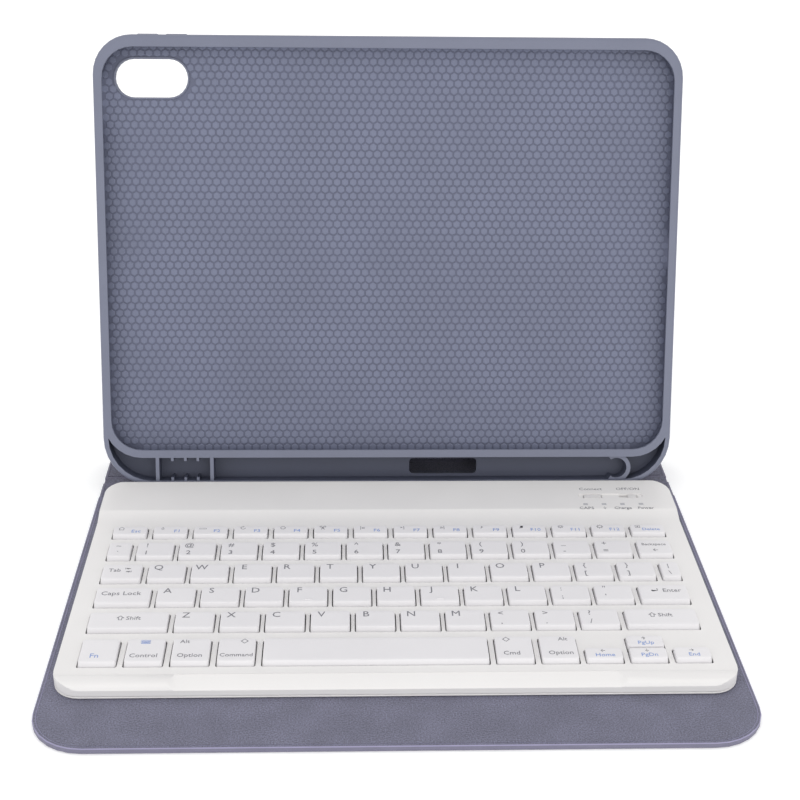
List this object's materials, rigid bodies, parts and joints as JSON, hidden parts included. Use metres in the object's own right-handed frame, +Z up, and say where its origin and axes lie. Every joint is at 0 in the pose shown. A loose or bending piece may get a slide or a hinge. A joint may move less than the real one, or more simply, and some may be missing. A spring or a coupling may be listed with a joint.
{
  "type": "tablet keyboard case",
  "caption": "Folio case standing open: moulded tray with pencil trough leaning on a folding stand, wireless keyboard with moving keys on the front cover.",
  "frame": {"origin": "centre of the base panel's underside", "axes": "+X to the user's right, +Y to the back, +Z up"},
  "size_m": [0.258, 0.2414, 0.194],
  "materials": {
    "cover_leather": "fine grained, matte",
    "board": "pressed board",
    "microfibre": "short nap",
    "lavender_tpu": "satin",
    "white_plastic": "matte",
    "keycap_white": "matte",
    "grey_plastic": "matte",
    "clear_plastic": "gloss",
    "steel": "satin",
    "silicone": "matte",
    "circuit_green": "solder mask",
    "battery_foil": "foil pouch"
  },
  "bodies": {
    "base": {"base_skin": "cover_leather", "base_board": "board", "base_lining": "microfibre", "base_strip_lining": "microfibre", "keyboard_magnet_left": "steel", "keyboard_magnet_right": "steel"},
    "spine": {"spine_skin": "cover_leather", "spine_lining": "microfibre"},
    "flap": {"flap_skin": "cover_leather", "flap_board": "board", "flap_lining": "microfibre"},
    "tray": {"tray_shell": "lavender_tpu", "back_skin": "cover_leather", "back_board": "board"},
    "volume_up": {"volume_up_button": "lavender_tpu"},
    "volume_down": {"volume_down_button": "lavender_tpu"},
    "keyboard": {"keyboard_top_case": "white_plastic", "keyboard_bottom_case": "white_plastic", "key_support_plate": "steel", "key_dome_sheet": "silicone", "circuit_board": "circuit_green", "battery": "battery_foil", "led_light_pipe": "clear_plastic", "usb_port": "steel"},
    "power_switch": {"power_switch": "grey_plastic"},
    "connect_button": {"connect_button": "grey_plastic"},
    "escape_key": {"escape_key": "keycap_white"},
    "delete_key": {"delete_key": "keycap_white"},
    "grave_key": {"grave_key": "keycap_white"},
    "backspace_key": {"backspace_key": "keycap_white"},
    "tab_key": {"tab_key": "keycap_white"},
    "backslash_key": {"backslash_key": "keycap_white"},
    "caps_lock_key": {"caps_lock_key": "keycap_white"},
    "enter_key": {"enter_key": "keycap_white"},
    "left_shift_key": {"left_shift_key": "keycap_white"},
    "right_shift_key": {"right_shift_key": "keycap_white"},
    "fn_key": {"fn_key": "keycap_white"},
    "control_key": {"control_key": "keycap_white"},
    "option_key": {"option_key": "keycap_white"},
    "command_key": {"command_key": "keycap_white"},
    "space_bar": {"space_bar": "keycap_white"},
    "right_command_key": {"right_command_key": "keycap_white"},
    "right_option_key": {"right_option_key": "keycap_white"},
    "arrow_left_key": {"arrow_left_key": "keycap_white"},
    "arrow_up_key": {"arrow_up_key": "keycap_white"},
    "arrow_down_key": {"arrow_down_key": "keycap_white"},
    "arrow_right_key": {"arrow_right_key": "keycap_white"},
    "function_keys_left": {"function_keys_left": "keycap_white"},
    "function_keys_right": {"function_keys_right": "keycap_white"},
    "number_keys_left": {"number_keys_left": "keycap_white"},
    "number_keys_right": {"number_keys_right": "keycap_white"},
    "upper_keys_left": {"upper_keys_left": "keycap_white"},
    "upper_keys_right": {"upper_keys_right": "keycap_white"},
    "home_keys_left": {"home_keys_left": "keycap_white"},
    "home_keys_right": {"home_keys_right": "keycap_white"},
    "lower_keys_left": {"lower_keys_left": "keycap_white"},
    "lower_keys_right": {"lower_keys_right": "keycap_white"}
  },
  "joints": [
    {"name": "cover_hinge", "type": "hinge", "parent": "base", "child": "spine", "pos_m": [0, 0.08835, 0.0011], "axis": [-1, 0, 0], "range_deg": [-87.5, 0]},
    {"name": "flap_hinge", "type": "hinge", "parent": "spine", "child": "flap", "pos_m": [0, 0.10985, 0.0011], "axis": [-1, 0, 0], "range_deg": [0, 11.6]},
    {"name": "tray_crease", "type": "hinge", "parent": "flap", "child": "tray", "pos_m": [0, 0.0996, 0.05004], "axis": [-1, 0, 0], "range_deg": [-27.45, 0]},
    {"name": "volume_up_press", "type": "slide", "parent": "tray", "child": "volume_up", "axis": [0, -0.2807, -0.9598], "range_m": [0, 0.0004], "stiffness_N_per_m": 800, "springref_m": -0.0004},
    {"name": "volume_down_press", "type": "slide", "parent": "tray", "child": "volume_down", "axis": [0, -0.2807, -0.9598], "range_m": [0, 0.0004], "stiffness_N_per_m": 800, "springref_m": -0.0004},
    {"name": "keyboard_lift", "type": "slide", "parent": "base", "child": "keyboard", "axis": [0, 0, 1], "range_m": [0, 0.04]},
    {"name": "power_switch_slide", "type": "slide", "parent": "keyboard", "child": "power_switch", "axis": [1, 0, 0], "range_m": [-0.0036, 0]},
    {"name": "connect_button_press", "type": "slide", "parent": "keyboard", "child": "connect_button", "axis": [0, 0, -1], "range_m": [0, 0.0006], "stiffness_N_per_m": 500, "springref_m": -0.0006},
    {"name": "escape_key_press", "type": "slide", "parent": "keyboard", "child": "escape_key", "axis": [0, 0, -1], "range_m": [0, 0.0015], "stiffness_N_per_m": 300, "springref_m": -0.0008},
    {"name": "delete_key_press", "type": "slide", "parent": "keyboard", "child": "delete_key", "axis": [0, 0, -1], "range_m": [0, 0.0015], "stiffness_N_per_m": 300, "springref_m": -0.0008},
    {"name": "grave_key_press", "type": "slide", "parent": "keyboard", "child": "grave_key", "axis": [0, 0, -1], "range_m": [0, 0.0015], "stiffness_N_per_m": 300, "springref_m": -0.0008},
    {"name": "backspace_key_press", "type": "slide", "parent": "keyboard", "child": "backspace_key", "axis": [0, 0, -1], "range_m": [0, 0.0015], "stiffness_N_per_m": 300, "springref_m": -0.0008},
    {"name": "tab_key_press", "type": "slide", "parent": "keyboard", "child": "tab_key", "axis": [0, 0, -1], "range_m": [0, 0.0015], "stiffness_N_per_m": 300, "springref_m": -0.0008},
    {"name": "backslash_key_press", "type": "slide", "parent": "keyboard", "child": "backslash_key", "axis": [0, 0, -1], "range_m": [0, 0.0015], "stiffness_N_per_m": 300, "springref_m": -0.0008},
    {"name": "caps_lock_key_press", "type": "slide", "parent": "keyboard", "child": "caps_lock_key", "axis": [0, 0, -1], "range_m": [0, 0.0015], "stiffness_N_per_m": 300, "springref_m": -0.0008},
    {"name": "enter_key_press", "type": "slide", "parent": "keyboard", "child": "enter_key", "axis": [0, 0, -1], "range_m": [0, 0.0015], "stiffness_N_per_m": 300, "springref_m": -0.0008},
    {"name": "left_shift_key_press", "type": "slide", "parent": "keyboard", "child": "left_shift_key", "axis": [0, 0, -1], "range_m": [0, 0.0015], "stiffness_N_per_m": 300, "springref_m": -0.0008},
    {"name": "right_shift_key_press", "type": "slide", "parent": "keyboard", "child": "right_shift_key", "axis": [0, 0, -1], "range_m": [0, 0.0015], "stiffness_N_per_m": 300, "springref_m": -0.0008},
    {"name": "fn_key_press", "type": "slide", "parent": "keyboard", "child": "fn_key", "axis": [0, 0, -1], "range_m": [0, 0.0015], "stiffness_N_per_m": 300, "springref_m": -0.0008},
    {"name": "control_key_press", "type": "slide", "parent": "keyboard", "child": "control_key", "axis": [0, 0, -1], "range_m": [0, 0.0015], "stiffness_N_per_m": 300, "springref_m": -0.0008},
    {"name": "option_key_press", "type": "slide", "parent": "keyboard", "child": "option_key", "axis": [0, 0, -1], "range_m": [0, 0.0015], "stiffness_N_per_m": 300, "springref_m": -0.0008},
    {"name": "command_key_press", "type": "slide", "parent": "keyboard", "child": "command_key", "axis": [0, 0, -1], "range_m": [0, 0.0015], "stiffness_N_per_m": 300, "springref_m": -0.0008},
    {"name": "space_bar_press", "type": "slide", "parent": "keyboard", "child": "space_bar", "axis": [0, 0, -1], "range_m": [0, 0.0015], "stiffness_N_per_m": 300, "springref_m": -0.0008},
    {"name": "right_command_key_press", "type": "slide", "parent": "keyboard", "child": "right_command_key", "axis": [0, 0, -1], "range_m": [0, 0.0015], "stiffness_N_per_m": 300, "springref_m": -0.0008},
    {"name": "right_option_key_press", "type": "slide", "parent": "keyboard", "child": "right_option_key", "axis": [0, 0, -1], "range_m": [0, 0.0015], "stiffness_N_per_m": 300, "springref_m": -0.0008},
    {"name": "arrow_left_key_press", "type": "slide", "parent": "keyboard", "child": "arrow_left_key", "axis": [0, 0, -1], "range_m": [0, 0.0015], "stiffness_N_per_m": 300, "springref_m": -0.0008},
    {"name": "arrow_up_key_press", "type": "slide", "parent": "keyboard", "child": "arrow_up_key", "axis": [0, 0, -1], "range_m": [0, 0.0015], "stiffness_N_per_m": 300, "springref_m": -0.0008},
    {"name": "arrow_down_key_press", "type": "slide", "parent": "keyboard", "child": "arrow_down_key", "axis": [0, 0, -1], "range_m": [0, 0.0015], "stiffness_N_per_m": 300, "springref_m": -0.0008},
    {"name": "arrow_right_key_press", "type": "slide", "parent": "keyboard", "child": "arrow_right_key", "axis": [0, 0, -1], "range_m": [0, 0.0015], "stiffness_N_per_m": 300, "springref_m": -0.0008},
    {"name": "function_keys_left_press", "type": "slide", "parent": "keyboard", "child": "function_keys_left", "axis": [0, 0, -1], "range_m": [0, 0.0015], "stiffness_N_per_m": 900, "springref_m": -0.0008},
    {"name": "function_keys_right_press", "type": "slide", "parent": "keyboard", "child": "function_keys_right", "axis": [0, 0, -1], "range_m": [0, 0.0015], "stiffness_N_per_m": 900, "springref_m": -0.0008},
    {"name": "number_keys_left_press", "type": "slide", "parent": "keyboard", "child": "number_keys_left", "axis": [0, 0, -1], "range_m": [0, 0.0015], "stiffness_N_per_m": 900, "springref_m": -0.0008},
    {"name": "number_keys_right_press", "type": "slide", "parent": "keyboard", "child": "number_keys_right", "axis": [0, 0, -1], "range_m": [0, 0.0015], "stiffness_N_per_m": 900, "springref_m": -0.0008},
    {"name": "upper_keys_left_press", "type": "slide", "parent": "keyboard", "child": "upper_keys_left", "axis": [0, 0, -1], "range_m": [0, 0.0015], "stiffness_N_per_m": 900, "springref_m": -0.0008},
    {"name": "upper_keys_right_press", "type": "slide", "parent": "keyboard", "child": "upper_keys_right", "axis": [0, 0, -1], "range_m": [0, 0.0015], "stiffness_N_per_m": 900, "springref_m": -0.0008},
    {"name": "home_keys_left_press", "type": "slide", "parent": "keyboard", "child": "home_keys_left", "axis": [0, 0, -1], "range_m": [0, 0.0015], "stiffness_N_per_m": 900, "springref_m": -0.0008},
    {"name": "home_keys_right_press", "type": "slide", "parent": "keyboard", "child": "home_keys_right", "axis": [0, 0, -1], "range_m": [0, 0.0015], "stiffness_N_per_m": 900, "springref_m": -0.0008},
    {"name": "lower_keys_left_press", "type": "slide", "parent": "keyboard", "child": "lower_keys_left", "axis": [0, 0, -1], "range_m": [0, 0.0015], "stiffness_N_per_m": 900, "springref_m": -0.0008},
    {"name": "lower_keys_right_press", "type": "slide", "parent": "keyboard", "child": "lower_keys_right", "axis": [0, 0, -1], "range_m": [0, 0.0015], "stiffness_N_per_m": 900, "springref_m": -0.0008}
  ],
  "couplings": [
    {"joint": "flap_hinge", "follows": "cover_hinge", "ratio": -0.13147},
    {"joint": "tray_crease", "follows": "cover_hinge", "ratio": 0.31259}
  ]
}
